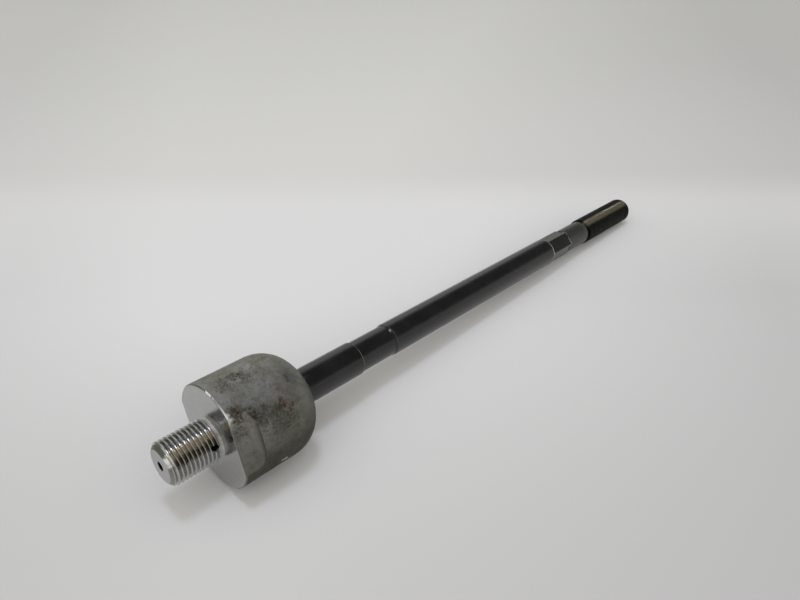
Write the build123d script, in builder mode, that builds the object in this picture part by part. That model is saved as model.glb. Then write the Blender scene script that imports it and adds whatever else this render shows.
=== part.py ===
from build123d import *
import os
from math import acos, asin, atan2, cos, degrees, hypot, radians, sin, sqrt, tan

# Inner tie rod, all sizes in millimetres. One straight axis runs from the threaded stub
# through the ball joint to the threaded tip, and the part lies on the floor, z = 0, on the
# rear edge of the housing and on the tip's thread. Stations are distances along that axis
# from the flat end of the stub.

# Stub that screws into the steering rack
stub_length = 19.0
stub_thread_diameter = 16.0
stub_face_diameter = 12.2
stub_lead_in = 1.5
stub_relief_diameter = 14.2
stub_relief_width = 1.3
stub_root_radius = 0.5
air_hole_diameter = 3.2
drill_point_angle = 118.0
vent_hole_diameter = 2.4
vent_hole_station = 15.9
vent_hole_turn = 72.0
vent_overrun = 0.4

# Forged socket housing with its swaged dome
housing_diameter = 39.5
housing_cylinder_length = 22.5
socket_wall = 5.5
front_edge_break = 0.5
dome_radius = 13.2
mouth_undercut = 1.0
mouth_edge_radius = 0.4
flat_depth = 3.25
flat_length = 8.0
flat_runout_radius = 3.0
flat_turn = 71.0

# Ball, resin seat and disc spring
ball_behind_shoulder = 1.45
ball_flat_diameter = 8.0
ball_running_clearance = 0.05
seat_wall = 1.65
seat_bottom = 1.7
seat_turning_clearance = 0.05
seat_mouth_angle = 52.5
seat_edge_break = 0.6
seat_slit_count = 6
seat_slit_width = 1.2
seat_slit_overlap = 2.0
grease_pocket_diameter = 9.0
grease_pocket_depth = 0.8
spring_thickness = 0.8
spring_cone_height = 0.5
spring_outer_clearance = 0.4
spring_inner_diameter = 15.0
spring_gap = 0.05

# Rod
shaft_diameter = 14.0
neck_diameter = 11.6
neck_flare_radius = 25.0
neck_reach = 18.5
neck_root_radius = 1.0
boot_groove_start = 83.3
boot_groove_diameter = 13.1
boot_groove_length = 17.9
boot_shoulder_length = 1.2
groove_edge_break = 0.2
hex_start = 221.6
hex_across_flats = 12.0
hex_length = 17.7
hex_turn = 46.5
tip_neck_diameter = 12.8
tip_neck_length = 19.2
tip_thread_diameter = 14.0
tip_thread_length = 48.5
tip_face_diameter = 12.4
tip_lead_in = 1.5

# Radii that the profiles use
stub_radius = stub_thread_diameter / 2
housing_radius = housing_diameter / 2
flat_height = housing_radius - flat_depth
bore_radius = housing_radius - socket_wall
seat_radius = bore_radius - seat_turning_clearance
cup_radius = seat_radius - seat_wall
ball_radius = cup_radius - ball_running_clearance
mouth_radius = ball_radius - mouth_undercut
shaft_radius = shaft_diameter / 2
neck_radius = neck_diameter / 2
groove_radius = boot_groove_diameter / 2
tip_neck_radius = tip_neck_diameter / 2
tip_radius = tip_thread_diameter / 2
tip_face_radius = tip_face_diameter / 2

# Stations along the axis, from the stub to the tip
spring_height = spring_thickness + spring_cone_height
front_face = stub_length
dome_start = front_face + housing_cylinder_length
ball_station = dome_start + ball_behind_shoulder
seat_front = ball_station - cup_radius - seat_bottom
bore_floor = seat_front - spring_height - 2 * spring_gap
dome_centre_radius = housing_radius - dome_radius
dome_turn = acos((mouth_radius - dome_centre_radius) / dome_radius)
mouth_station = dome_start + dome_radius * sin(dome_turn)
neck_end = ball_station + neck_reach
groove_end = boot_groove_start + boot_groove_length
hex_end = hex_start + hex_length
tip_thread_start = hex_end + tip_neck_length
tip_end = tip_thread_start + tip_thread_length

# The floor touches the dome's shoulder circle and the last full turn of the tip's thread
tip_contact = tip_end - tip_lead_in
drop_to_tip = dome_centre_radius - tip_radius
run_to_tip = tip_contact - dome_start
lean = atan2(drop_to_tip, run_to_tip) + asin(dome_radius / hypot(drop_to_tip, run_to_tip))
stub_end_height = tip_contact * sin(lean) + tip_radius * cos(lean)
length_on_floor = tip_end * cos(lean) + (tip_face_diameter + stub_face_diameter) / 2 * sin(lean)
stub_end_x = -length_on_floor / 2 + stub_face_diameter / 2 * sin(lean)

# Profile plane: local x runs along the axis, local y away from it, upwards
profile_plane = Plane(
    origin=(stub_end_x, 0, stub_end_height),
    x_dir=(cos(lean), 0, -sin(lean)),
    z_dir=(0, -1, 0),
)
part_axis = Axis(profile_plane.origin, profile_plane.x_dir)
near_side = Vector(0, -1, 0)


def axis_point(station):
    return profile_plane.origin + profile_plane.x_dir * station


def outward(turn):
    """Direction square to the axis, turned from the top towards the near side."""
    return profile_plane.y_dir * cos(radians(turn)) + near_side * sin(radians(turn))


# Socket housing: stub, wrench flats, bore and dome are one forging
bore_tip = vent_hole_station + vent_hole_diameter / 2 + vent_overrun
drill_point = air_hole_diameter / 2 / tan(radians(drill_point_angle / 2))
lip_angle = degrees(asin(mouth_radius / bore_radius))

with BuildPart() as socket_housing:
    with BuildSketch(profile_plane):
        with BuildLine():
            Polyline(
                (bore_floor, bore_radius),
                (bore_floor, 0),
                (bore_tip + drill_point, 0),
                (bore_tip, air_hole_diameter / 2),
                (0, air_hole_diameter / 2),
                (0, stub_face_diameter / 2),
                (stub_lead_in, stub_radius),
                (front_face - stub_relief_width, stub_radius),
                (front_face - stub_relief_width, stub_relief_diameter / 2),
                (front_face, stub_relief_diameter / 2),
                (front_face, housing_radius),
                (dome_start, housing_radius),
            )
            dome = CenterArc(
                (dome_start, dome_centre_radius), dome_radius, 90, -degrees(dome_turn)
            )
            seat_zone = CenterArc((ball_station, 0), bore_radius, lip_angle, 90 - lip_angle)
            Line(dome @ 1, seat_zone @ 0)
            Line(seat_zone @ 1, (bore_floor, bore_radius))
        make_face()
        stub_root = vertices().sort_by_distance((front_face, stub_relief_diameter / 2))[0]
        fillet(stub_root, radius=stub_root_radius)
    revolve(axis=part_axis)

    # Two parallel wrench flats with a rounded run-out
    flat_plane = Plane(
        origin=axis_point(front_face),
        x_dir=profile_plane.x_dir,
        z_dir=outward(flat_turn - 90),
    )
    with BuildSketch(flat_plane):
        with BuildLine():
            Polyline(
                (flat_length, flat_height + flat_runout_radius),
                (flat_length, housing_diameter),
                (-stub_relief_width, housing_diameter),
                (-stub_relief_width, flat_height),
                (flat_length - flat_runout_radius, flat_height),
            )
            CenterArc(
                (flat_length - flat_runout_radius, flat_height + flat_runout_radius),
                flat_runout_radius,
                -90,
                90,
            )
        make_face()
        mirror(about=Plane.XZ)
    extrude(amount=housing_diameter, both=True, mode=Mode.SUBTRACT)

    # Broken edge round the turned front face
    front = faces().filter_by(GeomType.PLANE).sort_by_distance(axis_point(front_face))
    front_rim = front.filter_by(lambda f: f.area > housing_radius**2)[0].outer_wire()
    chamfer(front_rim.edges(), length=front_edge_break)

    # Rounded lip of the mouth
    lip = edges().filter_by(GeomType.CIRCLE).sort_by_distance(axis_point(mouth_station))
    lip = lip.filter_by(lambda e: abs(e.radius - mouth_radius) < 0.01).sort_by(part_axis)
    fillet(lip[-1], radius=mouth_edge_radius)

    # Side vent that meets the air hole
    vent_plane = Plane(
        origin=axis_point(vent_hole_station),
        x_dir=profile_plane.x_dir,
        z_dir=outward(vent_hole_turn),
    )
    with BuildSketch(vent_plane):
        Circle(vent_hole_diameter / 2)
    extrude(amount=stub_thread_diameter, mode=Mode.SUBTRACT)


# Ball seat: one resin cup, slit from its mouth so that it closes over the ball
seat_inner_edge = ball_station + cup_radius * cos(radians(seat_mouth_angle))
slit_start = ball_station + seat_slit_overlap

with BuildPart() as ball_seat:
    with BuildSketch(profile_plane):
        with BuildLine():
            seat_ball_zone = CenterArc(
                (ball_station, 0), seat_radius, seat_mouth_angle, 90 - seat_mouth_angle
            )
            Polyline(
                seat_ball_zone @ 1,
                (seat_front + seat_edge_break, seat_radius),
                (seat_front, seat_radius - seat_edge_break),
                (seat_front, grease_pocket_diameter / 2),
                (seat_front + grease_pocket_depth, grease_pocket_diameter / 2),
                (seat_front + grease_pocket_depth, 0),
                (ball_station - cup_radius, 0),
            )
            cup = CenterArc(
                (ball_station, 0), cup_radius, seat_mouth_angle, 180 - seat_mouth_angle
            )
            Line(cup @ 0, seat_ball_zone @ 0)
        make_face()
    revolve(axis=part_axis)

    slit_plane = Plane(
        origin=axis_point(slit_start),
        x_dir=outward(0),
        z_dir=profile_plane.x_dir,
    )
    with BuildSketch(slit_plane):
        with PolarLocations(cup_radius, seat_slit_count):
            Rectangle(ball_radius, seat_slit_width)
    extrude(amount=seat_radius, mode=Mode.SUBTRACT)


# Disc spring that keeps the seat tight on the ball
spring_front = bore_floor + spring_gap
spring_outer_radius = bore_radius - spring_outer_clearance
spring_inner_radius = spring_inner_diameter / 2

with BuildPart() as preload_washer:
    with BuildSketch(profile_plane):
        with BuildLine():
            Polyline(
                (spring_front, spring_outer_radius),
                (spring_front + spring_thickness, spring_outer_radius),
                (spring_front + spring_height, spring_inner_radius),
                (spring_front + spring_cone_height, spring_inner_radius),
                close=True,
            )
        make_face()
    revolve(axis=part_axis)


# Rod: ball, flared neck, boot groove, shaft, wrench hexagon and thread are one bar
flare_drop = shaft_radius - neck_radius
flare_turn = degrees(acos(1 - flare_drop / neck_flare_radius))
ball_flat_depth = sqrt(ball_radius**2 - (ball_flat_diameter / 2) ** 2)
ball_arc_turn = 180 - degrees(asin(ball_flat_diameter / 2 / ball_radius))
neck_depth = sqrt(ball_radius**2 - neck_radius**2)

with BuildPart() as ball_stud_rod:
    with BuildSketch(profile_plane):
        with BuildLine():
            flare = CenterArc(
                (neck_end, shaft_radius - neck_flare_radius), neck_flare_radius, 90, flare_turn
            )
            Polyline(
                flare @ 1,
                (ball_station, neck_radius),
                (ball_station, 0),
                (tip_end, 0),
                (tip_end, tip_face_radius),
                (tip_contact, tip_radius),
                (tip_thread_start + tip_radius - tip_neck_radius, tip_radius),
                (tip_thread_start, tip_neck_radius),
                (hex_end, tip_neck_radius),
                (hex_end, shaft_radius),
                (groove_end + boot_shoulder_length, shaft_radius),
                (groove_end, groove_radius),
                (boot_groove_start, groove_radius),
                (boot_groove_start, shaft_radius - groove_edge_break),
                (boot_groove_start - groove_edge_break, shaft_radius),
                flare @ 0,
            )
        make_face()
        with BuildLine():
            ball_arc = CenterArc((ball_station, 0), ball_radius, 0, ball_arc_turn)
            Polyline(ball_arc @ 1, (ball_station - ball_flat_depth, 0), ball_arc @ 0)
        make_face()
        neck_root = vertices().sort_by_distance((ball_station + neck_depth, neck_radius))[0]
        fillet(neck_root, radius=neck_root_radius)
    revolve(axis=part_axis)

    # Wrench hexagon milled into the bar
    hex_plane = Plane(
        origin=axis_point(hex_start),
        x_dir=outward(hex_turn),
        z_dir=profile_plane.x_dir,
    )
    with BuildSketch(hex_plane):
        Circle(shaft_diameter)
        RegularPolygon(
            hex_across_flats / 2, 6, major_radius=False, rotation=30, mode=Mode.SUBTRACT
        )
    extrude(amount=hex_length, mode=Mode.SUBTRACT)


os.makedirs("parts", exist_ok=True)
socket_housing.part.label = "socket_housing"
export_step(socket_housing.part, "parts/socket_housing.step")
ball_seat.part.label = "ball_seat"
export_step(ball_seat.part, "parts/ball_seat.step")
preload_washer.part.label = "preload_washer"
export_step(preload_washer.part, "parts/preload_washer.step")
ball_stud_rod.part.label = "ball_stud_rod"
export_step(ball_stud_rod.part, "parts/ball_stud_rod.step")

ball_centre = axis_point(ball_station)
print("lean", round(degrees(lean), 3), "degrees")
print("axis", tuple(round(value, 6) for value in profile_plane.x_dir))
print("stub end", tuple(round(value, 4) for value in axis_point(0)))
print("ball centre", tuple(round(value, 4) for value in ball_centre))
print("stations: mouth", round(mouth_station, 3), "ball", round(ball_station, 3), "tip", tip_end)
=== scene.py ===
from math import acos, asin, atan2, ceil, cos, degrees, hypot, pi, radians, sin, sqrt, tan

import bmesh
import bpy
import numpy as np
from mathutils import Euler, Matrix, Vector


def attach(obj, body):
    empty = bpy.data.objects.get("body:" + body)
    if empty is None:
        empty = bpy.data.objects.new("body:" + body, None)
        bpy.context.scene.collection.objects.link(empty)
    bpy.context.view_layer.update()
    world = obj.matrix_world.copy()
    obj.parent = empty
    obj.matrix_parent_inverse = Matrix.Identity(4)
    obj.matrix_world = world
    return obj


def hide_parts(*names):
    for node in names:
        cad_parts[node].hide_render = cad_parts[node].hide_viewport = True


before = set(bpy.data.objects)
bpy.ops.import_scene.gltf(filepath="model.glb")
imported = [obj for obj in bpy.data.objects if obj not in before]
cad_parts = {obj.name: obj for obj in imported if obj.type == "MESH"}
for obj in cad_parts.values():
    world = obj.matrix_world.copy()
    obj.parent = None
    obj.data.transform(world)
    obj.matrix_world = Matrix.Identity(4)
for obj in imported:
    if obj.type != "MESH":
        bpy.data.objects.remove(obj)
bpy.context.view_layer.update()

# The part's own axis: stations run from the stub's flat end to the tip, in millimetres, and
# turns are measured round it from the top towards the near side
MM = 0.001
LEAN = radians(2.76832)
STUB_END = Vector((-153.3233, 0.0, 21.7467))
ALONG = np.array((cos(LEAN), 0.0, -sin(LEAN)))
UP = np.array((sin(LEAN), 0.0, cos(LEAN)))
NEAR = np.array((0.0, -1.0, 0.0))

# Stub
STUB_R = 8.0
STUB_FACE_R = 6.1
STUB_LEAD_IN = 1.5
RELIEF_START = 17.7
RELIEF_R = 7.1
ROOT_ROUND = 0.5
AIR_HOLE_R = 1.6
AIR_HOLE_END = 17.5
AIR_HOLE_BREAK = 0.2
AIR_HOLE_RINGS = (AIR_HOLE_END, 12.0, 6.0, 0.2)
END_FACE_RINGS = (2.6, 4.2, 5.6)
END_FACE_EDGE_R = 5.94
END_FACE_ROUND = (0.12, 0.15)
DRILL_POINT = 0.961
VENT_R = 1.2
VENT_STATION = 15.9
VENT_TURN = 72.0
VENT_TOP_R, VENT_BOTTOM_R = 10.0, 0.4
STUB_CREST_SHIFT = 0.36
STUB_RUN_OUT_SLOPE = 1.4

# Housing
FRONT_FACE = 19.0
HOUSING_R = 19.75
FRONT_BREAK = 0.5
CHORD_BREAK = 0.3
FLAT_HEIGHT = 16.5
FLAT_END = 27.0
FLAT_ROUND = 3.0
FLAT_TURN = 71.0
FLAT_EDGE_ROUND = 0.22
FLAT_WALL_FORM = ((0.55, 0.0), (0.86, 0.14), (1.0, 0.45))
BORE_FLOOR = 27.3
BORE_R = 14.25
BORE_FLOOR_RINGS = (10.0, 5.0, 0.0)
BALL_STATION = 42.95
DOME_START = 41.5
DOME_R = 13.2
MOUTH_R = 11.5
LIP_ROUND = 0.4

# Rod
BALL_R = 12.5
BALL_FLAT_R = 4.0
BALL_FLAT_EDGE = 0.3
NECK_R = 5.8
NECK_ROUND = 1.0
NECK_END = 61.45
FLARE_R = 25.0
SHAFT_R = 7.0
GROOVE_START = 83.3
GROOVE_END = 101.2
GROOVE_R = 6.55
GROOVE_EDGE = 0.2
SHOULDER = 1.2
SHOULDER_ROUND = 0.25
SHOULDER_DROP = 0.094
CREASE = 0.15
HEX_START = 221.6
HEX_END = 239.3
HEX_HALF = 6.0
HEX_TURN = 46.5
HEX_BREAK = 0.15
HEX_BREAK_DEPTH = 0.1
HEX_EDGE = 0.3
HEX_CORNER_DROP = 0.07
TIP_NECK_R = 6.4
TIP_THREAD_START = 258.5
TIP_MAJOR_R = 6.99
TIP_END = 307.0
TIP_FACE_R = 6.2
TIP_LEAD_IN = 1.5
TIP_CREST_SHIFT = 0.3
TIP_NECK_SUPPORT = 0.9
TIP_RUN_IN = 0.4
TIP_RUN_OUT = 0.12
TIP_SLOPE_MARGIN = 0.12
TIP_EDGE = ((0.1, 0.05), (0.0, 0.2))
TIP_FACE_RINGS = (4.0, 2.0, 0.0)

# Thread form: places and drops along the rounded crest, shares of the flank, angles of the root
PITCH = 1.5
THREAD_DEPTH = 0.84
ROOT_R = 0.14
CREST = ((0.0, 0.0), (0.09, 0.004), (0.155, 0.028), (0.205, 0.076))
FLANK_SHARES = (0.35, 0.7)
ROOT_ANGLES = (60, 38, 18)

# Mesh: columns round the axis, and what counts as one corner or one edge
FLAT_COLUMNS = 27
ROUND_COLUMNS = 41
CORNER_SHARES = (0.36, 0.68)
HOUSING_COLUMNS = 2 * (FLAT_COLUMNS + ROUND_COLUMNS + 2 * len(CORNER_SHARES))
ROD_COLUMNS = 96
HEX_COLUMNS = 15
VENT_COLUMNS = 48
SAME_CORNER_MM = 0.0004
SHORTEST_EDGE_MM = 0.0002
SHARP_ANGLE = 34


# Geometry


def place(station, radius, turn):
    """World points, in metres, of stations, radii and turns in degrees."""
    station, radius, turn = np.broadcast_arrays(station, radius, np.radians(turn))
    out = np.outer(np.cos(turn), UP) + np.outer(np.sin(turn), NEAR)
    stub_end = np.array(STUB_END)
    return MM * (stub_end + np.outer(station, ALONG) + radius[:, None] * out)


class Skin:
    """A closed skin round the axis, built ring by ring with one column count."""

    def __init__(self, turns):
        self.turns = np.asarray(turns, float)
        self.rings = []
        self.faces = []
        self.finishes = []

    def ring(self, station, radius, finish=0, turns=None):
        """Adds one ring and joins it to the last with faces of that finish."""
        turns = self.turns if turns is None else turns
        self.rings.append(place(station, radius, turns))
        if len(self.rings) > 1:
            self.band(len(self.rings) - 2, finish)

    def band(self, ring, finish):
        """Faces from that ring to the next, all the way round."""
        count = len(self.turns)
        low = ring * count
        for k in range(count):
            after = (k + 1) % count
            self.faces.append((low + k, low + after, low + count + after, low + count + k))
            self.finishes.append(finish)

    def rings_at(self, stations, radii, finish=0):
        for station, radius in zip(stations, radii):
            self.ring(station, radius, finish)

    def thread(self, start, end, major, finish, crest_shift, slopes):
        """Right-hand thread between two stations, cut away by a cone at each end."""
        phases, heights = thread_profile()
        root = major - THREAD_DEPTH
        around = (self.turns - self.turns[0]) / 360
        shift = (crest_shift + PITCH * self.turns[0] / 360 - start) % PITCH
        origin = start + shift - PITCH
        laps = ceil((end - origin) / PITCH) + 2
        first = len(self.rings)
        for lap in range(laps):
            for phase, height in zip(phases, heights):
                station = origin + PITCH * (lap - 1 + phase + around)
                station = np.clip(station, start, end)
                lead_in = root + (station - start) * slopes[0]
                run_out = root + (end - station) * slopes[1]
                radius = np.minimum(root + height, np.minimum(lead_in, run_out))
                self.rings.append(place(station, radius, self.turns))
        self.thread_faces(first, len(phases), finish)
        self.band(first - 1, finish)

    def thread_faces(self, first, rows, finish):
        """Faces between a thread's rows. Each row's end joins the row one lap further on."""
        count = len(self.turns)
        last = len(self.rings) - 1
        for low in range(first, last):
            for k in range(count - 1):
                a = low * count + k
                self.faces.append((a, a + 1, a + count + 1, a + count))
                self.finishes.append(finish)
            if low + 1 + rows <= last:
                a = low * count + count - 1
                b = (low + rows) * count
                self.faces.append((a, b, b + count, a + count))
                self.finishes.append(finish)

    def object(self, name, materials):
        """The mesh object, with coincident corners merged and its sharp edges marked."""
        mesh = bpy.data.meshes.new(name)
        mesh.from_pydata(np.concatenate(self.rings).tolist(), [], self.faces)
        for material in materials:
            mesh.materials.append(material)
        mesh.polygons.foreach_set("material_index", self.finishes)
        clean(mesh)
        made = bpy.data.objects.new(name, mesh)
        bpy.context.scene.collection.objects.link(made)
        return made


def clean(mesh):
    """Merges coincident corners, drops empty faces and sets the shading."""
    work = bmesh.new()
    work.from_mesh(mesh)
    bmesh.ops.remove_doubles(work, verts=work.verts, dist=SAME_CORNER_MM * MM)
    bmesh.ops.dissolve_degenerate(work, edges=work.edges, dist=SHORTEST_EDGE_MM * MM)
    bmesh.ops.recalc_face_normals(work, faces=work.faces)
    work.to_mesh(mesh)
    work.free()
    shade(mesh)


def shade(mesh):
    mesh.shade_smooth()
    mesh.set_sharp_from_angle(angle=radians(SHARP_ANGLE))


def thread_profile():
    """Shares of the pitch and heights above the root of one metric thread form."""
    points = [(along, THREAD_DEPTH - drop) for along, drop in CREST]
    flank_start, flank_top = points[-1]
    flank_end = PITCH / 2 - ROOT_R * sin(radians(ROOT_ANGLES[0]))
    flank_foot = ROOT_R * (1 - cos(radians(ROOT_ANGLES[0])))
    for share in FLANK_SHARES:
        along = flank_start + share * (flank_end - flank_start)
        points.append((along, flank_top + share * (flank_foot - flank_top)))
    for angle in ROOT_ANGLES:
        along = PITCH / 2 - ROOT_R * sin(radians(angle))
        points.append((along, ROOT_R * (1 - cos(radians(angle)))))
    falling = points + [(PITCH / 2, 0.0)]
    rising = [(PITCH - along, height) for along, height in reversed(points[1:])]
    profile = falling + rising
    return [along / PITCH for along, _ in profile], [height for _, height in profile]


def bezier(start, corner, end, shares):
    """Points of the curve that rounds a corner."""
    start, corner, end = np.array(start), np.array(corner), np.array(end)
    return [(1 - t) ** 2 * start + 2 * t * (1 - t) * corner + t * t * end for t in shares]


def flat_outline(radius, height):
    """Radii and turns of a circle with two parallel flats, corners slightly rounded."""
    half = sqrt(radius**2 - height**2)
    turn = atan2(half, height)
    side = half - FLAT_EDGE_ROUND
    round_start = turn + FLAT_EDGE_ROUND / radius
    points = [(height, y) for y in np.linspace(-side, side, FLAT_COLUMNS)]
    meet = (radius * cos(round_start), radius * sin(round_start))
    rounded = bezier((height, side), (height, half), meet, CORNER_SHARES)
    points += [tuple(p) for p in rounded]
    for angle in np.linspace(round_start, pi - turn - FLAT_EDGE_ROUND / radius, ROUND_COLUMNS):
        points.append((radius * cos(angle), radius * sin(angle)))
    points += [(-p[0], p[1]) for p in reversed(rounded)]
    points += [(-x, -y) for x, y in points]
    points = np.array(points)
    turns = np.degrees(np.unwrap(np.arctan2(points[:, 1], points[:, 0])))
    return np.hypot(points[:, 0], points[:, 1]), FLAT_TURN + turns


def arc(centre, radius, start, end, count):
    """Stations and radii along an arc, angles in degrees from the axis."""
    angles = np.radians(np.linspace(start, end, count))
    return centre[0] + radius * np.cos(angles), centre[1] + radius * np.sin(angles)


# Finishes of the housing's faces, in the order of its materials
THREAD, TURNED, FORGED, BORE = range(4)


def stub_rings(skin):
    skin.ring(AIR_HOLE_END + DRILL_POINT, 0.0)
    for station in AIR_HOLE_RINGS:
        skin.ring(station, AIR_HOLE_R, THREAD)
    skin.ring(0.0, AIR_HOLE_R + AIR_HOLE_BREAK, THREAD)
    for radius in END_FACE_RINGS:
        skin.ring(0.0, radius, THREAD)
    edge_end = (END_FACE_ROUND[0], STUB_FACE_R + END_FACE_ROUND[1])
    edge = bezier((0.0, END_FACE_EDGE_R), (0.0, STUB_FACE_R), edge_end, (0, 0.35, 0.7, 1))
    for station, radius in edge:
        skin.ring(station, radius, THREAD)
    slope = (STUB_R - STUB_FACE_R) / STUB_LEAD_IN
    root = STUB_R - THREAD_DEPTH
    start = (root - STUB_FACE_R) / slope
    skin.ring(start, root, THREAD)
    slopes = (slope, STUB_RUN_OUT_SLOPE)
    skin.thread(start, RELIEF_START, STUB_R, THREAD, STUB_CREST_SHIFT, slopes)
    skin.ring(RELIEF_START, RELIEF_R, THREAD)
    skin.ring(FRONT_FACE - ROOT_ROUND, RELIEF_R, THREAD)
    stations, radii = arc((FRONT_FACE - ROOT_ROUND, RELIEF_R + ROOT_ROUND), ROOT_ROUND, -75, 0, 6)
    skin.rings_at(stations, radii, THREAD)


def front_rings(skin):
    radii, turns = flat_outline(HOUSING_R - FRONT_BREAK, FLAT_HEIGHT - CHORD_BREAK)
    start = RELIEF_R + ROOT_ROUND
    for share in np.linspace(0, 1, 11)[1:]:
        radius = start + share * (radii - start)
        turn = skin.turns + share * (turns - skin.turns)
        skin.ring(FRONT_FACE, radius, TURNED, turn)
    radii, turns = flat_outline(HOUSING_R, FLAT_HEIGHT)
    skin.ring(FRONT_FACE + FRONT_BREAK, radii, TURNED, turns)


def flat_rings(skin):
    """The flats, their rounded run-out and the low wall where it meets the cylinder."""
    radii, turns = flat_outline(HOUSING_R, FLAT_HEIGHT)
    for station in np.linspace(FRONT_FACE + FRONT_BREAK, FLAT_END - FLAT_ROUND, 6)[1:]:
        skin.ring(station, radii, FORGED, turns)
    for angle in np.radians(np.linspace(0, 90, 13)[1:]):
        height = FLAT_HEIGHT + FLAT_ROUND * (1 - cos(angle))
        radii, turns = flat_outline(HOUSING_R, height)
        skin.ring(FLAT_END - FLAT_ROUND + FLAT_ROUND * sin(angle), radii, FORGED, turns)
    wall = HOUSING_R - radii
    for rise, run in FLAT_WALL_FORM:
        skin.ring(FLAT_END + run * wall, radii + rise * wall, FORGED, turns)
    stations = np.linspace(FLAT_END + 0.4, DOME_START, 12)
    for station in stations:
        share = (station - FLAT_END) / (DOME_START - FLAT_END)
        share = share * share * (3 - 2 * share)
        skin.ring(station, HOUSING_R, FORGED, turns + share * (skin.turns - turns))


def dome_rings(skin):
    centre_r = HOUSING_R - DOME_R
    mouth_turn = degrees(acos((MOUTH_R - centre_r) / DOME_R))
    end_turn = mouth_turn - degrees(LIP_ROUND / DOME_R)
    stations, radii = arc((DOME_START, centre_r), DOME_R, 90, 90 - end_turn, 30)
    skin.rings_at(stations[1:], radii[1:], FORGED)
    mouth = DOME_START + DOME_R * sin(radians(mouth_turn))
    zone_turn = degrees(asin(MOUTH_R / BORE_R))
    zone_end = BALL_STATION + BORE_R * cos(radians(zone_turn))
    lip = bezier(
        (stations[-1], radii[-1]),
        (mouth, MOUTH_R),
        (mouth - LIP_ROUND, MOUTH_R),
        (0.25, 0.5, 0.75, 1),
    )
    for station, radius in lip:
        skin.ring(station, radius, FORGED)
    skin.ring(zone_end, MOUTH_R, BORE)
    stations, radii = arc((BALL_STATION, 0), BORE_R, zone_turn, 90, 14)
    skin.rings_at(stations[1:], radii[1:], BORE)
    skin.ring(BORE_FLOOR, BORE_R, BORE)
    for radius in BORE_FLOOR_RINGS:
        skin.ring(BORE_FLOOR, radius, BORE)


def drill_vent(housing):
    """Cuts the side vent through the thread into the air hole."""
    turn = radians(VENT_TURN)
    direction = Vector(UP * cos(turn) + NEAR * sin(turn))
    middle = direction * (VENT_TOP_R + VENT_BOTTOM_R) / 2
    centre = MM * (STUB_END + Vector(ALONG) * VENT_STATION + middle)
    upright = direction.to_track_quat("Z", "Y").to_matrix().to_4x4()
    work = bmesh.new()
    bmesh.ops.create_cone(
        work,
        cap_ends=True,
        segments=VENT_COLUMNS,
        radius1=VENT_R * MM,
        radius2=VENT_R * MM,
        depth=(VENT_TOP_R - VENT_BOTTOM_R) * MM,
        matrix=Matrix.Translation(centre) @ upright,
    )
    mesh = bpy.data.meshes.new("vent_drill")
    work.to_mesh(mesh)
    work.free()
    drill = bpy.data.objects.new("vent_drill", mesh)
    bpy.context.scene.collection.objects.link(drill)
    cut = housing.modifiers.new("vent", "BOOLEAN")
    cut.operation = "DIFFERENCE"
    cut.solver = "EXACT"
    cut.object = drill
    apply_modifiers(housing)
    bpy.data.objects.remove(drill)
    clean(housing.data)


def apply_modifiers(piece):
    graph = bpy.context.evaluated_depsgraph_get()
    made = bpy.data.meshes.new_from_object(piece.evaluated_get(graph))
    piece.modifiers.clear()
    piece.data = made


def make_housing(materials):
    columns = np.arange(HOUSING_COLUMNS) - FLAT_COLUMNS // 2
    skin = Skin(FLAT_TURN + columns * 360 / HOUSING_COLUMNS)
    stub_rings(skin)
    front_rings(skin)
    flat_rings(skin)
    dome_rings(skin)
    housing = skin.object("socket_housing_detail", materials)
    drill_vent(housing)
    return housing


# Finishes of the rod's faces, in the order of its materials
BLACK, TIP_NECK, TIP_THREAD, BALL = range(4)


def ball_rings(skin):
    depth = sqrt(BALL_R**2 - BALL_FLAT_R**2)
    skin.ring(BALL_STATION - depth, 0.0)
    skin.ring(BALL_STATION - depth, BALL_FLAT_R - BALL_FLAT_EDGE, BALL)
    start = 180 - degrees(asin(BALL_FLAT_R / BALL_R))
    fillet_r = BALL_R + NECK_ROUND
    root_turn = degrees(asin((NECK_R + NECK_ROUND) / fillet_r))
    stations, radii = arc((BALL_STATION, 0), BALL_R, start, root_turn, 44)
    skin.rings_at(stations, radii, BALL)
    centre = (BALL_STATION + fillet_r * cos(radians(root_turn)), NECK_R + NECK_ROUND)
    stations, radii = arc(centre, NECK_ROUND, 180 + root_turn, 270, 8)
    skin.rings_at(stations[1:], radii[1:], BLACK)


def shaft_rings(skin):
    drop = SHAFT_R - NECK_R
    flare_turn = degrees(acos(1 - drop / FLARE_R))
    stations, radii = arc((NECK_END, SHAFT_R - FLARE_R), FLARE_R, 90 + flare_turn, 90, 12)
    skin.rings_at(stations, radii, BLACK)
    for station in np.linspace(NECK_END, GROOVE_START - GROOVE_EDGE, 5)[1:]:
        skin.ring(station, SHAFT_R, BLACK)
    skin.ring(GROOVE_START, SHAFT_R - GROOVE_EDGE, BLACK)
    skin.ring(GROOVE_START, GROOVE_R, BLACK)
    for station in np.linspace(GROOVE_START, GROOVE_END - CREASE, 5)[1:]:
        skin.ring(station, GROOVE_R, BLACK)
    skin.ring(GROOVE_END, GROOVE_R, BLACK)
    skin.ring(GROOVE_END + CREASE, GROOVE_R + CREASE * (SHAFT_R - GROOVE_R) / SHOULDER, BLACK)
    shoulder = GROOVE_END + SHOULDER
    edge = bezier(
        (shoulder - SHOULDER_ROUND, SHAFT_R - SHOULDER_DROP),
        (shoulder, SHAFT_R),
        (shoulder + SHOULDER_ROUND, SHAFT_R),
        (0, 0.35, 0.65, 1),
    )
    for station, radius in edge:
        skin.ring(station, radius, BLACK)
    start = shoulder + SHOULDER_ROUND + CREASE
    for station in np.linspace(start, HEX_START - HEX_BREAK - CREASE, 13):
        skin.ring(station, SHAFT_R, BLACK)
    skin.ring(HEX_START - HEX_BREAK, SHAFT_R, BLACK)


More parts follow.
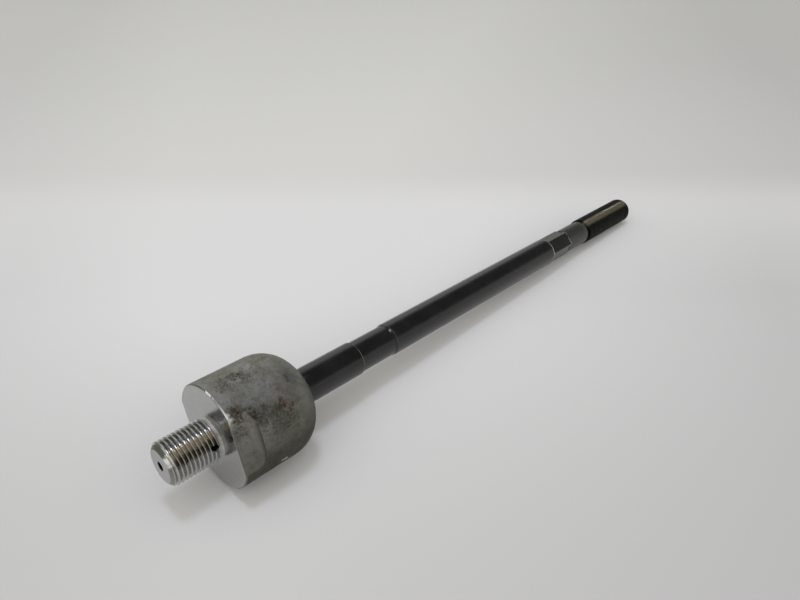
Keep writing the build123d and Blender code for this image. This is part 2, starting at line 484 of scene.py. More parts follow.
def hexagon_outline(half_across):
    """Radii and turns of a hexagon with its corners slightly cut, from a corner on."""
    side = half_across * tan(radians(30))
    flat = (side - HEX_EDGE) / side
    across = [-1.0, *np.linspace(-flat, flat, HEX_COLUMNS)]
    radii, turns = [], []
    for k in range(6):
        for share in across:
            y = share * side
            drop = HEX_CORNER_DROP if share == -1.0 else 0.0
            radii.append(hypot(half_across, y) - drop)
            turns.append(HEX_TURN + 60 * k + degrees(atan2(y, half_across)))
    return np.array(radii), np.array(turns)


def hexagon_rings(skin):
    radii, turns = hexagon_outline(HEX_HALF)
    skin.ring(HEX_START, SHAFT_R - HEX_BREAK_DEPTH, BLACK)
    skin.ring(HEX_START, radii, BLACK, turns)
    for station in np.linspace(HEX_START, HEX_END, 4)[1:]:
        skin.ring(station, radii, BLACK, turns)
    skin.ring(HEX_END, np.maximum(radii, TIP_NECK_R), TIP_NECK, turns)
    skin.ring(HEX_END, TIP_NECK_R, TIP_NECK)


def tip_rings(skin):
    root = TIP_MAJOR_R - THREAD_DEPTH
    for station in np.linspace(HEX_END, TIP_THREAD_START - TIP_NECK_SUPPORT, 6)[1:]:
        skin.ring(station, TIP_NECK_R, TIP_NECK)
    start = TIP_THREAD_START - TIP_RUN_IN
    skin.ring(start, root, TIP_THREAD)
    slope = (TIP_MAJOR_R - TIP_FACE_R) / TIP_LEAD_IN
    end = min(TIP_END - (root - TIP_FACE_R) / slope, TIP_END - TIP_RUN_OUT)
    slopes = (1.0, slope + TIP_SLOPE_MARGIN)
    skin.thread(start, end, TIP_MAJOR_R, TIP_THREAD, TIP_CREST_SHIFT, slopes)
    for back, below in TIP_EDGE:
        skin.ring(TIP_END - back, root - below, TIP_THREAD)
    for radius in TIP_FACE_RINGS:
        skin.ring(TIP_END, radius, TIP_THREAD)


def make_rod(materials):
    skin = Skin(HEX_TURN - 30 + np.arange(ROD_COLUMNS) * 360 / ROD_COLUMNS)
    ball_rings(skin)
    shaft_rings(skin)
    hexagon_rings(skin)
    tip_rings(skin)
    return skin.object("ball_stud_rod_detail", materials)


# Materials


class Nodes:
    """Short calls for one node tree. Numbers set a socket, sockets are linked to it."""

    def __init__(self, tree):
        self.tree = tree
        self.tree.nodes.clear()

    def add(self, kind, inputs=(), **settings):
        made = self.tree.nodes.new("ShaderNode" + kind)
        for name, value in settings.items():
            setattr(made, name, value)
        for name, value in dict(inputs).items():
            self.put(made.inputs[name], value)
        return made

    def put(self, socket, value):
        if isinstance(value, bpy.types.NodeSocket):
            self.tree.links.new(value, socket)
        elif isinstance(value, tuple) and socket.type == "RGBA" and len(value) == 3:
            socket.default_value = (*value, 1.0)
        else:
            socket.default_value = value

    def math(self, operation, first, second=0.0):
        return self.add("Math", {0: first, 1: second}, operation=operation).outputs[0]

    def remap(self, value, low, high, to_low=0.0, to_high=1.0, smooth=False):
        made = self.add(
            "MapRange",
            {"Value": value, "From Min": low, "From Max": high, "To Min": to_low, "To Max": to_high},
            clamp=True,
        )
        made.interpolation_type = "SMOOTHSTEP" if smooth else "LINEAR"
        return made.outputs["Result"]

    def noise(self, vector, scale, detail=3.0, roughness=0.55, distortion=0.0):
        return self.add(
            "TexNoise",
            {
                "Vector": vector,
                "Scale": scale,
                "Detail": detail,
                "Roughness": roughness,
                "Distortion": distortion,
            },
        ).outputs[0]

    def mix(self, share, first, second, blend="MIX"):
        made = self.add("Mix", data_type="RGBA", blend_type=blend)
        self.put(made.inputs[0], share)
        self.put(made.inputs[6], first)
        self.put(made.inputs[7], second)
        return made.outputs[2]

    def local(self):
        """Coordinates along and across the part's own axis, in millimetres."""
        turned = STUB_END.copy()
        turned.rotate(Euler((0.0, -LEAN, 0.0)))
        where = self.add("TexCoord").outputs["Object"]
        return self.add(
            "Mapping",
            {
                "Vector": where,
                "Location": tuple(-turned),
                "Rotation": (0.0, -LEAN, 0.0),
                "Scale": (1 / MM, 1 / MM, 1 / MM),
            },
            vector_type="POINT",
        ).outputs[0]

    def split(self, vector):
        return self.add("SeparateXYZ", {0: vector}).outputs

    def join(self, x=0.0, y=0.0, z=0.0):
        return self.add("CombineXYZ", {0: x, 1: y, 2: z}).outputs[0]

    def from_axis(self, vector):
        """Distance from the axis, in millimetres."""
        parts = self.split(vector)
        flat = self.join(0.0, parts[1], parts[2])
        return self.add("VectorMath", {0: flat}, operation="LENGTH").outputs["Value"]

    def near(self, vector, point, reach, wobble):
        """1 at a point, falling to 0 at its reach, with an uneven edge."""
        offset = self.add("VectorMath", {0: vector, 1: point}, operation="DISTANCE")
        distance = self.math("ADD", offset.outputs["Value"], wobble)
        return self.remap(distance, reach, 0.25 * reach, smooth=True)

    def side_band(self, vector, radius, turn, reach, wobble):
        """1 on the line along the part at one turn, falling to 0 at its reach."""
        parts = self.split(vector)
        return self.near(self.join(0.0, parts[1], parts[2]), at_turn(0.0, radius, turn), reach, wobble)

    def bump(self, height, strength, distance_mm, normal=None):
        inputs = {"Strength": strength, "Distance": distance_mm * MM, "Height": height}
        if normal is not None:
            inputs["Normal"] = normal
        return self.add("Bump", inputs).outputs[0]

    def surface(self, **named):
        """The shader and the output, from socket names with underscores."""
        inputs = {name.replace("_", " "): value for name, value in named.items()}
        shader = self.add("BsdfPrincipled", inputs)
        self.add("OutputMaterial", {"Surface": shader.outputs[0]})


def new_material(name):
    material = bpy.data.materials.new(name)
    material.use_nodes = True
    return material, Nodes(material.node_tree)


def at_turn(station, radius, turn):
    """A place on the part in the local coordinates of its materials."""
    angle = radians(turn)
    return (station, -radius * sin(angle), radius * cos(angle))


def flat_run_out(n, where):
    """1 on the rounded end of each flat, where a spanner rubs and a highlight is painted."""
    band = n.remap(n.split(where)[0], FLAT_END - FLAT_ROUND - 0.4, FLAT_END - FLAT_ROUND + 0.5)
    inside = n.remap(n.from_axis(where), HOUSING_R - 0.15, HOUSING_R - 0.6)
    return n.math("MULTIPLY", band, inside)


def on_flats(n, where):
    """1 on the wrench flats, 0 on the round of the housing and on its dome."""
    inside = n.remap(n.from_axis(where), HOUSING_R - 0.1, HOUSING_R - 0.5)
    return n.math("MULTIPLY", inside, n.remap(n.split(where)[0], FLAT_END + 1.0, FLAT_END))


# Colours of the forged housing
FORGED_PALE, FORGED_MID = (0.355, 0.355, 0.338), (0.265, 0.262, 0.234)
FORGED_DARK, FORGED_OLIVE = (0.142, 0.138, 0.108), (0.185, 0.178, 0.128)
DARK_GRAIN, LIGHT_GRAIN = (0.045, 0.043, 0.037), (0.36, 0.357, 0.33)
PITS, PAINTED_UNDER_SHADE = (0.035, 0.033, 0.028), (0.045, 0.043, 0.031)
RUB_AND_HIGHLIGHT, BRIGHT_SPOT_COLOUR = (0.26, 0.26, 0.24), (0.75, 0.74, 0.70)
RUST, BROWN, SOOT = (0.17, 0.085, 0.05), (0.062, 0.038, 0.025), (0.040, 0.036, 0.026)
FORGED_EDGE_TINT = (0.62, 0.62, 0.61)

# Places (station, radius, turn), reaches, amounts and colours of its stains
STAINS = (
    ((22.0, 19.0, 35.0), 4.2, 0.88, BROWN),
    ((25.0, 19.5, 45.0), 4.0, 0.85, BROWN),
    ((21.5, 18.0, 56.0), 4.5, 0.50, SOOT),
    ((29.0, 19.6, 50.0), 5.6, 0.70, SOOT),
    ((29.8, 19.7, -3.0), 3.2, 0.80, BROWN),
    ((25.0, 19.7, 2.0), 4.6, 0.60, SOOT),
    ((33.0, 19.7, 4.0), 4.5, 0.60, SOOT),
    ((38.3, 19.7, 49.0), 2.6, 0.85, RUST),
    ((40.5, 19.7, 55.0), 1.9, 0.65, RUST),
    ((39.3, 19.7, 33.0), 2.4, 0.45, RUST),
    ((46.5, 18.6, 30.0), 4.5, 0.70, SOOT),
    ((36.0, 19.7, 62.0), 7.5, 0.62, SOOT),
    ((33.0, 19.7, 160.0), 7.0, 0.70, BROWN),
    ((41.0, 19.7, 230.0), 6.0, 0.70, RUST),
    ((30.0, 19.7, 290.0), 7.0, 0.65, SOOT),
)
# Places and reaches of the bright spots: a painted glint low on the housing, and painted highlights on
# the front corner, which is partly rubbed bare
BRIGHT_SPOTS = (
    ((34.3, 19.7, 115.0), 0.9),
    ((35.6, 19.7, 115.5), 0.9),
    ((19.7, 19.7, 34.0), 1.2),
    ((19.8, 19.3, 38.5), 1.3),
)


def forged_scale(n, where, blotch):
    """The mottled scale of the forging before it was stained and handled."""
    cloud = n.noise(where, 0.10, 4.0, 0.6, 0.4)
    colour = n.mix(n.remap(cloud, 0.40, 0.62), FORGED_MID, FORGED_PALE)
    colour = n.mix(n.remap(blotch, 0.50, 0.72, 0.0, 0.65), colour, FORGED_DARK)
    olive = n.remap(n.noise(where, 0.22, 3.0, 0.6, 0.5), 0.50, 0.66, 0.0, 0.55)
    return n.mix(olive, colour, FORGED_OLIVE)


def add_stains(n, where, colour, grain, wobble):
    for place_at, reach, amount, tint in STAINS:
        uneven = n.math("MULTIPLY", wobble, reach / 5)
        patch = n.near(where, at_turn(*place_at), reach, uneven)
        patch = n.math("MULTIPLY", patch, n.remap(grain, 0.32, 0.60, 0.45 * amount, amount))
        colour = n.mix(patch, colour, tint)
    return colour


def add_flecks(n, colour, grain, specks):
    colour = n.mix(n.remap(grain, 0.54, 0.68, 0.0, 0.45), colour, DARK_GRAIN)
    colour = n.mix(n.remap(grain, 0.44, 0.35, 0.0, 0.65), colour, LIGHT_GRAIN)
    return n.mix(n.remap(specks, 0.60, 0.74, 0.0, 0.45), colour, PITS)


def add_wear_and_painted_light(n, where, colour, grain, specks, wobble):
    """The rub of a spanner with a painted highlight on it, painted shade towards the bottom, and
    bright spots: a painted glint, and painted highlights on the front corner, which is partly rubbed
    bare.
    """
    # Spanner rub and painted highlight: the rounded run-out of each flat is painted a lighter grey.
    rub_and_highlight_share = n.math("MULTIPLY", flat_run_out(n, where), n.remap(grain, 0.35, 0.6, 0.75, 0.45))
    colour = n.mix(rub_and_highlight_share, colour, RUB_AND_HIGHLIGHT)
    # Painted shade: the housing is painted darker towards its bottom, less so on the flats.
    under_shade = n.remap(n.split(where)[2], 15.5, -2.0)
    under_shade = n.math("MULTIPLY", under_shade, n.remap(on_flats(n, where), 0.0, 1.0, 1.0, 0.64))
    fine_flecks = n.remap(specks, 0.44, 0.30, 0.84, 0.55)
    colour = n.mix(n.math("MULTIPLY", under_shade, fine_flecks), colour, PAINTED_UNDER_SHADE)
    # Painted highlights: a glint low on the housing and bright patches on the front corner.
    for place_at, reach in BRIGHT_SPOTS:
        painted_highlight = n.near(where, at_turn(*place_at), reach, n.math("MULTIPLY", wobble, 0.2))
        colour = n.mix(painted_highlight, colour, BRIGHT_SPOT_COLOUR)
    return colour


def forged_steel():
    """The forged housing: mottled scale with stains, flecks and wear."""
    material, n = new_material("forged_steel")
    where = n.local()
    blotch = n.noise(where, 0.40, 5.0, 0.62, 0.3)
    grain = n.noise(where, 1.6, 4.0, 0.72)
    specks = n.noise(where, 5.5, 3.0, 0.65)
    wobble = n.remap(n.noise(where, 0.55, 5.0, 0.65, 0.4), 0.3, 0.7, -2.4, 2.4)
    colour = forged_scale(n, where, blotch)
    colour = add_stains(n, where, colour, grain, wobble)
    colour = add_flecks(n, colour, grain, specks)
    colour = add_wear_and_painted_light(n, where, colour, grain, specks, wobble)
    rough = n.remap(blotch, 0.35, 0.7, 0.48, 0.60)
    height = n.math("ADD", n.math("MULTIPLY", grain, 0.7), n.math("MULTIPLY", specks, 0.3))
    normal = n.bump(blotch, 0.30, 0.12, n.bump(height, 0.55, 0.05))
    n.surface(
        Base_Color=colour,
        Metallic=0.95,
        Roughness=rough,
        Normal=normal,
        Specular_Tint=FORGED_EDGE_TINT,
    )
    return material


def ring_marks(n, across, scale):
    """Uneven lathe marks along one coordinate."""
    fine = n.noise(n.join(across), scale, 2.0, 0.7)
    wide = n.noise(n.join(across, 7.3), scale * 0.22, 2.0, 0.5)
    return n.math("ADD", n.math("MULTIPLY", fine, 0.5), n.math("MULTIPLY", wide, 0.5))


TURNED_DARK, TURNED_PALE = (0.43, 0.43, 0.43), (0.49, 0.49, 0.49)
TURNED_CLOUD, TURNED_SMEAR = (0.44, 0.44, 0.40), (0.34, 0.31, 0.26)
CHAMFER_SHADE, CHAMFER_HIGHLIGHT = (0.16, 0.155, 0.13), (0.88, 0.87, 0.84)

# Turns and reaches of the two stretches of painted highlight on the front edge's chamfer
CHAMFER_HIGHLIGHT_STRETCHES = ((27.0, 7.5), (5.0, 3.0))


def turned_steel():
    """The turned front face: fine lathe rings, a grey film, and a chamfer painted dark as shade with a
    painted highlight along two stretches.
    """
    material, n = new_material("turned_steel")
    where = n.local()
    across = n.from_axis(where)
    marks = ring_marks(n, across, 3.0)
    cloud = n.noise(where, 0.25, 3.0, 0.5, 0.3)
    smear = n.noise(where, 1.1, 5.0, 0.65)
    colour = n.mix(n.remap(marks, 0.35, 0.65), TURNED_DARK, TURNED_PALE)
    colour = n.mix(n.remap(cloud, 0.5, 0.7, 0.0, 0.3), colour, TURNED_CLOUD)
    colour = n.mix(n.remap(smear, 0.62, 0.78, 0.0, 0.25), colour, TURNED_SMEAR)
    # Painted shade and highlight: the front chamfer is painted dark, and bright along two stretches.
    edge = n.remap(n.split(where)[0], FRONT_FACE + 0.03, FRONT_FACE + 0.12)
    wobble = n.remap(smear, 0.3, 0.7, -2.0, 2.0)
    stretches = []
    for turn, reach in CHAMFER_HIGHLIGHT_STRETCHES:
        stretches.append(n.near(where, at_turn(FRONT_FACE, HOUSING_R, turn), reach, wobble))
    highlight_share = n.math("MAXIMUM", *stretches)
    colour = n.mix(edge, colour, n.mix(highlight_share, CHAMFER_SHADE, CHAMFER_HIGHLIGHT))
    rough = n.remap(cloud, 0.35, 0.65, 0.19, 0.25)
    normal = n.bump(marks, 0.12, 0.005)
    n.surface(Base_Color=colour, Metallic=1.0, Roughness=rough, Normal=normal)
    return material


THREAD_ROOT_SHADE, THREAD_CREST, THREAD_LOWER_REFLECTION = (0.15, 0.145, 0.13), (0.70, 0.70, 0.69), (0.33, 0.33, 0.31)
WARM_REFLECTION, DARK_REFLECTION, TOP_DARK_REFLECTION = (0.74, 0.655, 0.50), (0.10, 0.085, 0.06), (0.12, 0.12, 0.10)
BEVEL_HIGHLIGHT, END_FACE = (1.0, 0.985, 0.93), (0.47, 0.465, 0.48)
NECK_PALE, NECK_DARK, HOLE_SHADE = (0.66, 0.66, 0.63), (0.46, 0.46, 0.43), (0.03, 0.03, 0.03)

# Turns, reaches, shares on the crests and in the grooves, whether the lead-in is spared, and
# colours of the bands of painted reflection on the thread
THREAD_REFLECTION_BANDS = (
    (40.0, 3.6, 0.25, 0.85, True, WARM_REFLECTION),
    (59.0, 2.7, 0.45, 0.92, True, DARK_REFLECTION),
    (-14.0, 4.2, 0.60, 0.90, False, TOP_DARK_REFLECTION),
)


def add_reflection_bands(n, where, colour, wobble):
    """Bands of painted reflection along the thread, fainter on its crests."""
    below = n.remap(n.from_axis(where), STUB_R - 0.01, STUB_R - 0.10)
    lead_in = n.remap(n.split(where)[0], 1.2, 2.4)
    for turn, reach, on_crest, in_groove, spare_lead_in, tint in THREAD_REFLECTION_BANDS:
        band = n.side_band(where, STUB_R, turn, reach, wobble)
        if spare_lead_in:
            band = n.math("MULTIPLY", band, lead_in)
        share = n.math("MULTIPLY", band, n.remap(below, 0.0, 1.0, on_crest, in_groove))
        colour = n.mix(share, colour, tint)
    return colour


def thread_steel():
    """The stub: bright crests, roots painted dark as shade, bands of painted reflection, a painted
    highlight on the lead-in, an air hole painted dark as shade, and the plain neck behind the thread.
    """
    material, n = new_material("thread_steel")
    where = n.local()
    station = n.split(where)[0]
    across = n.from_axis(where)
    smear = n.noise(where, 0.7, 5.0, 0.7, 0.4)
    fine = n.noise(where, 5.0, 3.0, 0.6)
    wobble = n.remap(smear, 0.3, 0.7, -0.9, 0.9)
    # Painted shade: the roots of the thread are painted dark.
    depth = n.remap(across, STUB_R - 0.82, STUB_R - 0.62)
    colour = n.mix(depth, THREAD_ROOT_SHADE, THREAD_CREST)
    # Painted reflection: the lower side of the thread is painted a lighter grey, where it reflects the
    # floor.
    lower_reflection = n.side_band(where, STUB_R, 110.0, 10.0, wobble)
    colour = n.mix(n.math("MULTIPLY", lower_reflection, 0.70), colour, THREAD_LOWER_REFLECTION)
    # Painted reflections: bands along the thread at fixed turns, a warm one, a dark one below it and
    # dark on top.
    colour = add_reflection_bands(n, where, colour, wobble)
    # Painted highlight on the chamfer of the lead-in.
    bevel_highlight = n.near(where, at_turn(0.7, 7.0, 44.0), 2.6, wobble)
    colour = n.mix(bevel_highlight, colour, BEVEL_HIGHLIGHT)
    colour = n.mix(n.remap(station, 0.05, 0.0), colour, END_FACE)
    neck = n.remap(station, RELIEF_START - 0.1, RELIEF_START)
    colour = n.mix(neck, colour, n.mix(n.remap(smear, 0.42, 0.6), NECK_PALE, NECK_DARK))
    # Painted shade: the inside of the air hole is painted near black.
    hole_shade = n.remap(across, AIR_HOLE_R + 0.15, AIR_HOLE_R + 0.05)
    colour = n.mix(hole_shade, colour, HOLE_SHADE)
    rough = n.remap(fine, 0.3, 0.7, 0.20, 0.29)
    rough = n.math("ADD", rough, n.remap(depth, 0.0, 1.0, 0.12, 0.0))
    rough = n.math("ADD", rough, n.math("MULTIPLY", neck, 0.16))
    normal = n.bump(fine, 0.15, 0.008)
    n.surface(Base_Color=colour, Metallic=1.0, Roughness=rough, Normal=normal)
    return material


BORE_DARK, BORE_PALE, BORE_SMEAR = (0.30, 0.295, 0.28), (0.42, 0.41, 0.39), (0.20, 0.18, 0.14)


def bore_steel():
    """The bore and the seat zone inside the housing."""
    material, n = new_material("bore_steel")
    where = n.local()
    marks = ring_marks(n, n.split(where)[0], 4.0)
    smear = n.noise(where, 0.8, 4.0, 0.65)
    colour = n.mix(n.remap(marks, 0.35, 0.65), BORE_DARK, BORE_PALE)
    colour = n.mix(n.remap(smear, 0.5, 0.7, 0.0, 0.6), colour, BORE_SMEAR)
    rough = n.remap(smear, 0.3, 0.7, 0.28, 0.42)
    normal = n.bump(marks, 0.3, 0.015)
    n.surface(Base_Color=colour, Metallic=1.0, Roughness=rough, Normal=normal)
    return material


def rub_and_highlight_ring(n, station, at, width, amount):
    """1 on a narrow band round a station, where the finish has rubbed thin and a highlight is painted.
    """
    gap = n.math("ABSOLUTE", n.math("SUBTRACT", station, at))
    return n.math("MULTIPLY", n.remap(gap, width, 0.3 * width), amount)


BLACK_DEEP, BLACK_PALE = (0.0035, 0.0035, 0.004), (0.007, 0.007, 0.008)
DUST, RUB_AND_HIGHLIGHT_GREY = (0.16, 0.16, 0.155), (0.42, 0.42, 0.415)

# Stations, widths and amounts of the light rings on the step edges: rubbed-thin black and painted
# highlight
RUB_AND_HIGHLIGHT_RINGS = (
    (GROOVE_START - 0.05, 0.30, 0.55),
    (GROOVE_END + SHOULDER, 0.20, 0.10),
    (HEX_START, 0.75, 0.70),
    (HEX_END, 0.55, 0.8),
)


def black_finish():
    """The rod's black finish, with light rings on its edges, rubbed thin and painted highlight."""
    material, n = new_material("black_finish")
    where = n.local()
    station = n.split(where)[0]
    marks = ring_marks(n, station, 2.6)
    cloud = n.noise(where, 0.12, 3.0, 0.5)
    fine = n.noise(where, 3.5, 3.0, 0.6)
    patchy = n.remap(n.noise(where, 0.30, 3.0, 0.6), 0.36, 0.54, 0.25, 1.0)
    colour = n.mix(n.remap(cloud, 0.35, 0.65), BLACK_DEEP, BLACK_PALE)
    dust = n.remap(n.noise(where, 9.0, 2.0, 0.5), 0.70, 0.80, 0.0, 0.06)
    colour = n.mix(dust, colour, DUST)
    # Light rings on the step edges: partly rubbed-thin black, partly painted highlight.
    for at, width, amount in RUB_AND_HIGHLIGHT_RINGS:
        ring = n.math("MULTIPLY", rub_and_highlight_ring(n, station, at, width, amount), patchy)
        colour = n.mix(ring, colour, RUB_AND_HIGHLIGHT_GREY)
    rough = n.remap(fine, 0.3, 0.7, 0.17, 0.25)
    rough = n.math("ADD", rough, n.remap(cloud, 0.4, 0.7, 0.0, 0.05))
    normal = n.bump(marks, 0.06, 0.008, n.bump(fine, 0.06, 0.006))
    n.surface(Base_Color=colour, Metallic=0.0, Roughness=rough, Normal=normal, IOR=1.55)
    return material


NECK_BLACK, NECK_GREY = (0.026, 0.026, 0.025), (0.046, 0.046, 0.045)
NECK_SMEAR = (0.02, 0.02, 0.02)


def tip_neck_finish():
    """The dull neck between the hexagon and the far thread."""
    material, n = new_material("tip_neck_finish")
    where = n.local()
    marks = ring_marks(n, n.split(where)[0], 3.2)
    smear = n.noise(where, 0.5, 4.0, 0.6)
    colour = n.mix(n.remap(marks, 0.35, 0.65), NECK_BLACK, NECK_GREY)
    colour = n.mix(n.remap(smear, 0.5, 0.7, 0.0, 0.5), colour, NECK_SMEAR)
    rough = n.remap(smear, 0.3, 0.7, 0.30, 0.40)
    normal = n.bump(marks, 0.2, 0.012)
    n.surface(Base_Color=colour, Metallic=0.35, Roughness=rough, Normal=normal)
    return material


TIP_DULL_ROOT, TIP_DULL_CREST = (0.006, 0.006, 0.005), (0.035, 0.035, 0.030)
TIP_SHEEN_ROOT, TIP_SHEEN_CREST = (0.13, 0.12, 0.08), (0.55, 0.50, 0.35)
TIP_SHEEN_TURN, TIP_SHEEN_REACH = 22.0, 3.0


def tip_thread_finish():
    """The far thread: black, with a painted olive sheen along its upper side."""
    material, n = new_material("tip_thread_finish")
    where = n.local()
    across = n.from_axis(where)
    smear = n.noise(where, 0.5, 4.0, 0.6)
    crest = n.remap(across, SHAFT_R - 0.20, SHAFT_R - 0.05)
    wobble = n.remap(smear, 0.3, 0.7, -0.4, 0.4)
    # Painted sheen: an olive-gold band along the upper side of the thread.
    sheen = n.side_band(where, SHAFT_R, TIP_SHEEN_TURN, TIP_SHEEN_REACH, wobble)
    dull = n.mix(crest, TIP_DULL_ROOT, TIP_DULL_CREST)
    painted_highlight = n.mix(crest, TIP_SHEEN_ROOT, TIP_SHEEN_CREST)
    colour = n.mix(sheen, dull, painted_highlight)
    rough = n.remap(smear, 0.3, 0.7, 0.20, 0.27)
    normal = n.bump(n.noise(where, 5.0, 3.0, 0.6), 0.15, 0.01)
    n.surface(Base_Color=colour, Metallic=1.0, Roughness=rough, Normal=normal)
    return material


BALL_PALE, BALL_FILM = (0.56, 0.55, 0.53), (0.42, 0.40, 0.34)


def ball_steel():
    """The ground ball under its grease."""
    material, n = new_material("ball_steel")
    where = n.local()
    smear = n.noise(where, 0.4, 4.0, 0.6, 0.5)
    fine = n.noise(where, 5.0, 3.0, 0.6)
    colour = n.mix(n.remap(smear, 0.4, 0.65), BALL_PALE, BALL_FILM)
    rough = n.remap(fine, 0.3, 0.7, 0.10, 0.17)
    normal = n.bump(fine, 0.08, 0.006)
    n.surface(Base_Color=colour, Metallic=1.0, Roughness=rough, Normal=normal)
    return material


RESIN_PALE, RESIN_DARK = (0.70, 0.66, 0.54), (0.62, 0.57, 0.44)


def seat_resin():
    """The moulded seat."""
    material, n = new_material("seat_resin")
    where = n.local()
    flow = n.noise(where, 0.25, 4.0, 0.6, 0.8)
    fine = n.noise(where, 4.0, 3.0, 0.6)
    colour = n.mix(n.remap(flow, 0.35, 0.65), RESIN_PALE, RESIN_DARK)
    rough = n.remap(fine, 0.3, 0.7, 0.36, 0.48)
    normal = n.bump(fine, 0.15, 0.015)
    n.surface(
        Base_Color=colour,
        Roughness=rough,
        Normal=normal,
        Subsurface_Weight=0.15,
        Subsurface_Scale=0.001,
    )
    return material


SPRING_DARK, SPRING_PALE = (0.30, 0.29, 0.27), (0.40, 0.39, 0.37)
SPRING_TEMPER = (0.22, 0.17, 0.11)


def spring_steel():
    """The disc spring, with temper colours."""
    material, n = new_material("spring_steel")
    where = n.local()
    marks = ring_marks(n, n.from_axis(where), 4.0)
    smear = n.noise(where, 0.7, 4.0, 0.6)
    colour = n.mix(n.remap(marks, 0.35, 0.65), SPRING_DARK, SPRING_PALE)
    colour = n.mix(n.remap(smear, 0.5, 0.7, 0.0, 0.5), colour, SPRING_TEMPER)
    rough = n.remap(smear, 0.3, 0.7, 0.26, 0.38)
    normal = n.bump(marks, 0.25, 0.012)
    n.surface(Base_Color=colour, Metallic=1.0, Roughness=rough, Normal=normal)
    return material


# Pieces

steels = [thread_steel(), turned_steel(), forged_steel(), bore_steel()]
housing = make_housing(steels)
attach(housing, "socket")
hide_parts("socket_housing")

finishes = [black_finish(), tip_neck_finish(), tip_thread_finish(), ball_steel()]
rod = make_rod(finishes)
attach(rod, "rod")
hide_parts("ball_stud_rod")


def dress(node, material):
    """Gives a CAD node its material and leaves its shape as it is."""
    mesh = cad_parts[node].data
    mesh.materials.clear()
    mesh.materials.append(material)


dress("ball_seat", seat_resin())
dress("preload_washer", spring_steel())


# Stage, light and camera


VIEW_TURN = radians(46.05)
FAR_PAPER = (0.58, 0.587, 0.614)
FAR_ROOM = (0.572, 0.570, 0.535)
BACK_SIDE = (0.0, 0.90, -0.25)
LEFT_SIDE = (-0.80, -0.50, -1.0)
FRONT_SIDE = (-0.60, -0.75, 0.25)
ROOM_DIM = (0.10, 0.10, 0.10)
ROOM_BRIGHT = (0.86, 0.86, 0.85)
ROOM_BACK = (0.19, 0.180, 0.145)
ROOM_FRONT = (1.44, 1.412, 1.275)
CEILING_PLACE = (-0.12, -0.03, 1.14)
CEILING_SIZE = (0.20, 0.16)
CEILING_POWER = 2.35
CEILING_TINT = (0.95, 0.97, 1.12)
CAMERA_PLACE = (-0.2011, -0.1524, 0.1782)
CAMERA_TILT = radians(56.53)
CAMERA_LENS = 28.63
CAMERA_SENSOR = 36.0
FLOOR_RADIUS = 4.0

# Colours of the paper: at the part, painted shade in front of it, on the sweep behind it, and painted
# shade at its sides
PAPER_DARK, PAPER_PALE = (0.638, 0.642, 0.686), (0.648, 0.652, 0.696)
PAPER_FRONT_SHADE, PAPER_SWEEP = (0.49, 0.494, 0.522), (0.600, 0.604, 0.628)
PAPER_SIDE_SHADE = (0.400, 0.404, 0.432)


def side_shade_share(n, right, away, slant, right_dim, left_dim):
    """The share of painted shade to the paper's right and to its left, along slanting lines."""
    lean = n.math("MULTIPLY", away, slant)
    low, high, most = right_dim
    to_right = n.remap(n.math("SUBTRACT", right, lean), low, high, 0.0, most)
    low, high, most = left_dim
    to_left = n.remap(n.math("ADD", right, lean), low, high, 0.0, most)
    return n.math("MAXIMUM", to_right, to_left)


def paper_side_shade(n, right, away, sweep):
    """How much painted shade darkens the paper at its sides, less so at the foot of the sweep and far
    off.
    """
    on_floor = side_shade_share(n, right, away, 0.35, (-0.02, 0.155, 0.67), (-0.14, -0.22, 0.26))
    on_wall = side_shade_share(n, right, away, 0.25, (-0.105, 0.265, 0.68), (-0.155, -0.325, 0.30))
    on_floor = n.math("MULTIPLY", on_floor, n.math("SUBTRACT", 1.0, sweep))
    side = n.math("ADD", on_floor, n.math("MULTIPLY", on_wall, sweep))
    foot = n.math("MULTIPLY", n.remap(away, 0.03, 0.12), n.remap(away, 0.19, 0.145))
    close_by = n.remap(n.math("ABSOLUTE", right), 0.48, 0.22, 0.0, 0.5, smooth=True)
    foot = n.math("MULTIPLY", foot, close_by)
    side = n.math("MULTIPLY", side, n.math("SUBTRACT", 1.0, foot))
    side = n.math("MULTIPLY", side, n.remap(away, 0.5, 0.9, 1.0, 0.75))
    return n.math("MULTIPLY", side, n.remap(away, -0.60, -0.14, smooth=True))


def paper_floor():
    """Pale paper: a cool floor with painted shade in front of the part and at its sides, which turns
    into a sweep behind the part and a little darker far off.
    """
    material, n = new_material("pale_paper")
    where = n.add("TexCoord").outputs["Object"]
    x, y, _ = n.split(where)
    into_x, into_y = sin(VIEW_TURN), cos(VIEW_TURN)
    away = n.math("ADD", n.math("MULTIPLY", x, into_x), n.math("MULTIPLY", y, into_y))
    right = n.math("SUBTRACT", n.math("MULTIPLY", x, into_y), n.math("MULTIPLY", y, into_x))
    fibre = n.noise(where, 900.0, 3.0, 0.6)
    floor = n.mix(n.remap(fibre, 0.3, 0.7), PAPER_DARK, PAPER_PALE)
    # Painted shade: the paper is darker in front of the part.
    front_shade = n.remap(away, 0.02, -0.17, smooth=True)
    floor = n.mix(n.math("MULTIPLY", front_shade, 0.8), floor, PAPER_FRONT_SHADE)
    sweep = n.remap(away, 0.125, 0.19, smooth=True)
    colour = n.mix(sweep, floor, PAPER_SWEEP)
    far = n.math("SUBTRACT", away, n.math("MULTIPLY", right, 0.30))
    colour = n.mix(n.remap(far, 0.12, 0.56, smooth=True), colour, FAR_PAPER)
    # Painted shade at the paper's sides.
    colour = n.mix(paper_side_shade(n, right, away, sweep), colour, PAPER_SIDE_SHADE)
    normal = n.bump(fibre, 0.05, 0.02)
    n.surface(Base_Color=colour, Roughness=0.8, Normal=normal, Specular_IOR_Level=0.2)
    return material


def make_floor():
    work = bmesh.new()
    bmesh.ops.create_circle(work, cap_ends=True, segments=128, radius=FLOOR_RADIUS)
    mesh = bpy.data.meshes.new("floor")
    work.to_mesh(mesh)
    work.free()
    mesh.materials.append(paper_floor())
    floor = bpy.data.objects.new("floor", mesh)
    bpy.context.scene.collection.objects.link(floor)


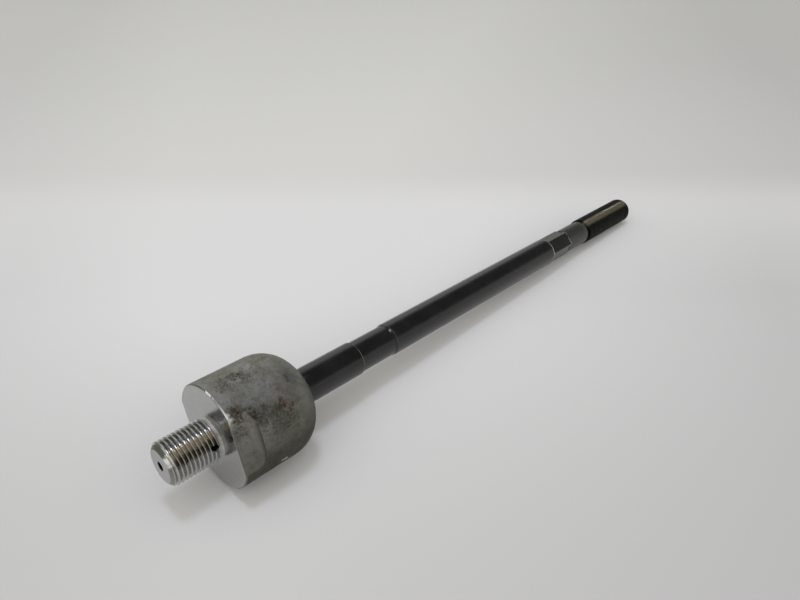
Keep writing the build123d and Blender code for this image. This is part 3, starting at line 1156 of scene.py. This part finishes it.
def make_lamp(name, place_at, size, power, colour):
    """A soft lamp that points at the middle of the frame."""
    light = bpy.data.lights.new(name, "AREA")
    light.shape = "RECTANGLE"
    light.size, light.size_y = size
    light.energy = power
    light.color = colour
    lamp = bpy.data.objects.new(name, light)
    lamp.location = place_at
    lamp.rotation_euler = (-Vector(place_at)).to_track_quat("-Z", "Y").to_euler()
    bpy.context.scene.collection.objects.link(lamp)


def make_world():
    """A pale room, dim overhead but for its left and its back, which light the metal's edges."""
    world = bpy.data.worlds.new("room")
    bpy.context.scene.world = world
    world.use_nodes = True
    n = Nodes(world.node_tree)
    direction = n.add("TexCoord").outputs["Generated"]

    def facing(side, low, high):
        dot = n.add("VectorMath", {0: direction, 1: side}, operation="DOT_PRODUCT")
        return n.remap(dot.outputs["Value"], low, high, smooth=True)

    bright = n.math("MAXIMUM", facing(BACK_SIDE, 0.10, 0.50), facing(LEFT_SIDE, -0.2, 0.5))
    overhead = n.mix(bright, ROOM_DIM, ROOM_BRIGHT)
    height = n.split(direction)[2]
    backdrop = n.mix(n.remap(height, 0.18, 0.40, smooth=True), FAR_ROOM, overhead)
    lit = n.mix(facing(FRONT_SIDE, -0.9, 0.9), ROOM_BACK, ROOM_FRONT)
    path = n.add("LightPath").outputs
    seen_by = n.math("MAXIMUM", path["Is Camera Ray"], path["Is Glossy Ray"])
    seen_by = n.math("MAXIMUM", seen_by, path["Is Transmission Ray"])
    colour = n.mix(seen_by, lit, backdrop)
    seen = n.add("Background", {"Color": colour, "Strength": 1.0})
    n.add("OutputWorld", {"Surface": seen.outputs[0]})


def make_camera():
    data = bpy.data.cameras.new("camera")
    data.sensor_width = CAMERA_SENSOR
    data.lens = CAMERA_LENS
    data.clip_start, data.clip_end = 0.01, 20.0
    camera = bpy.data.objects.new("camera", data)
    camera.location = CAMERA_PLACE
    camera.rotation_euler = (CAMERA_TILT, 0.0, -VIEW_TURN)
    bpy.context.scene.collection.objects.link(camera)
    bpy.context.scene.camera = camera


make_floor()
make_world()
make_lamp("ceiling", CEILING_PLACE, CEILING_SIZE, CEILING_POWER, CEILING_TINT)
make_camera()
bpy.context.scene.view_settings.view_transform = "Standard"
